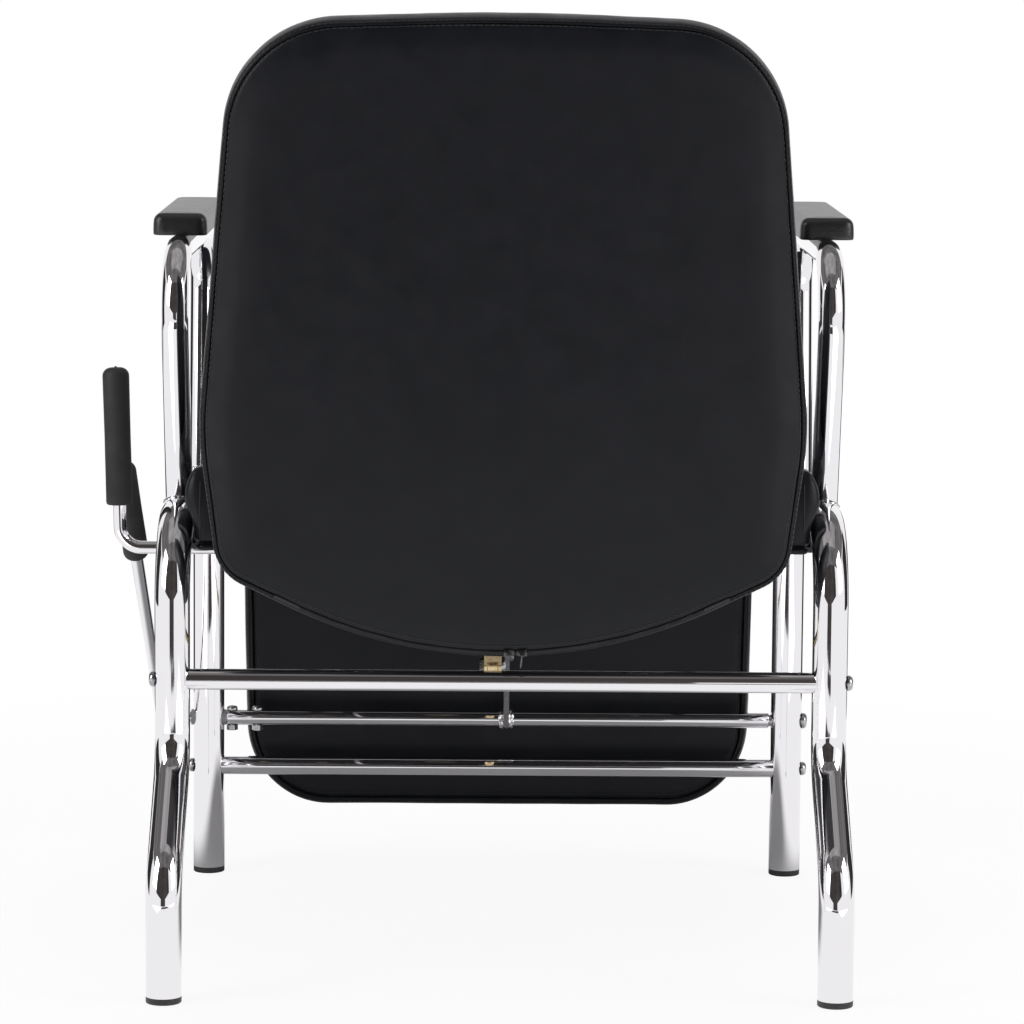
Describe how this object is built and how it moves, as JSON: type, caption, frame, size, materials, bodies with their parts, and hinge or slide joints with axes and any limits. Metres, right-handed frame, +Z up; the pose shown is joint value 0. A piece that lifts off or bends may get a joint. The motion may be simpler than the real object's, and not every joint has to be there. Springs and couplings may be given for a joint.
{
  "type": "reclining shampoo chair",
  "caption": "Reclining salon shampoo chair with chromed tube legs and arm loops, padded seat, hinged back, swing-up leg rest and side levers.",
  "frame": {"origin": "on the floor, under the middle of the chair's box, levers included", "axes": "+X to the sitter's right, +Y forward towards the leg rest, +Z up"},
  "size_m": [0.6987, 0.7276, 0.8736],
  "materials": {
    "chrome_tube": "polished chrome",
    "foot_plastic": "moulded",
    "arm_pad_skin": "grained skin",
    "grip_rubber": "matte",
    "bright_zinc": "zinc plated",
    "yellow_zinc": "yellow zinc plated",
    "bracket_steel": "satin black",
    "plywood": "raw ply",
    "black_vinyl": "grained vinyl"
  },
  "bodies": {
    "frame": {"left_leg_loop": "chrome_tube", "right_leg_loop": "chrome_tube", "foot_caps": "foot_plastic", "left_arm_loop": "chrome_tube", "right_arm_loop": "chrome_tube", "left_arm_pad": "arm_pad_skin", "right_arm_pad": "arm_pad_skin", "arm_pad_screws": "bright_zinc", "rear_stretcher": "chrome_tube", "front_stretcher": "chrome_tube", "stretcher_bolts": "bright_zinc", "rear_seat_bearer": "bracket_steel", "front_seat_bearer": "bracket_steel", "seat_bolts": "bright_zinc", "seat_board": "plywood", "seat_cushion": "black_vinyl", "back_hinge_pins": "bright_zinc", "leg_rest_brackets": "bracket_steel", "leg_rest_hinge_pins": "bright_zinc", "lever_bearings": "bracket_steel", "lever_bush": "foot_plastic", "torque_stub_pin": "bright_zinc"},
    "backrest": {"back_rear_panel": "black_vinyl", "back_board": "plywood", "back_cushion": "black_vinyl", "back_hinge_straps": "bracket_steel", "link_clevis": "yellow_zinc", "clevis_bolt": "bright_zinc"},
    "recline_lever": {"torque_tube": "chrome_tube", "clamp_bolts": "bright_zinc", "crank_strip": "chrome_tube", "recline_lever_rod": "chrome_tube", "recline_lever_grip": "grip_rubber"},
    "recline_link": {"recline_link": "bright_zinc", "recline_link_pin": "bright_zinc"},
    "leg_rest": {"leg_rest_rear_panel": "black_vinyl", "leg_rest_board": "plywood", "leg_rest_cushion": "black_vinyl", "leg_rest_hinge_straps": "bracket_steel", "leg_rest_arm": "bracket_steel", "leg_rest_arm_pin": "bright_zinc"},
    "leg_rest_lever": {"leg_rest_lever_rod": "chrome_tube", "leg_rest_lever_grip": "grip_rubber", "lever_shaft_collar": "bright_zinc", "leg_rest_crank": "bracket_steel", "leg_rest_crank_pin": "bright_zinc"},
    "leg_rest_link": {"leg_rest_link": "bright_zinc"}
  },
  "joints": [
    {"name": "back_recline", "type": "hinge", "parent": "frame", "child": "backrest", "pos_m": [0.0265, -0.1796, 0.378], "axis": [1, 0, 0], "range_deg": [0, 35]},
    {"name": "recline_lever_turn", "type": "hinge", "parent": "frame", "child": "recline_lever", "pos_m": [0.0265, 0.2664, 0.161], "axis": [1, 0, 0], "range_deg": [-35, 0]},
    {"name": "recline_link_swing", "type": "hinge", "parent": "backrest", "child": "recline_link", "pos_m": [0.0189, -0.1796, 0.284], "axis": [1, 0, 0], "range_deg": [-35, 0]},
    {"name": "leg_rest_lift", "type": "hinge", "parent": "frame", "child": "leg_rest", "pos_m": [0.0265, 0.2994, 0.385], "axis": [1, 0, 0], "range_deg": [0, 75]},
    {"name": "leg_rest_lever_turn", "type": "hinge", "parent": "frame", "child": "leg_rest_lever", "pos_m": [-0.2235, -0.0856, 0.378], "axis": [1, 0, 0], "range_deg": [0, 75]},
    {"name": "leg_rest_link_swing", "type": "hinge", "parent": "leg_rest", "child": "leg_rest_link", "pos_m": [-0.1255, 0.26405, 0.34287], "axis": [1, 0, 0], "range_deg": [-75, 0]}
  ],
  "couplings": [
    {"joint": "recline_lever_turn", "follows": "back_recline", "ratio": -1},
    {"joint": "recline_link_swing", "follows": "back_recline", "ratio": -1},
    {"joint": "leg_rest_lever_turn", "follows": "leg_rest_lift", "ratio": 1},
    {"joint": "leg_rest_link_swing", "follows": "leg_rest_lift", "ratio": -1}
  ]
}
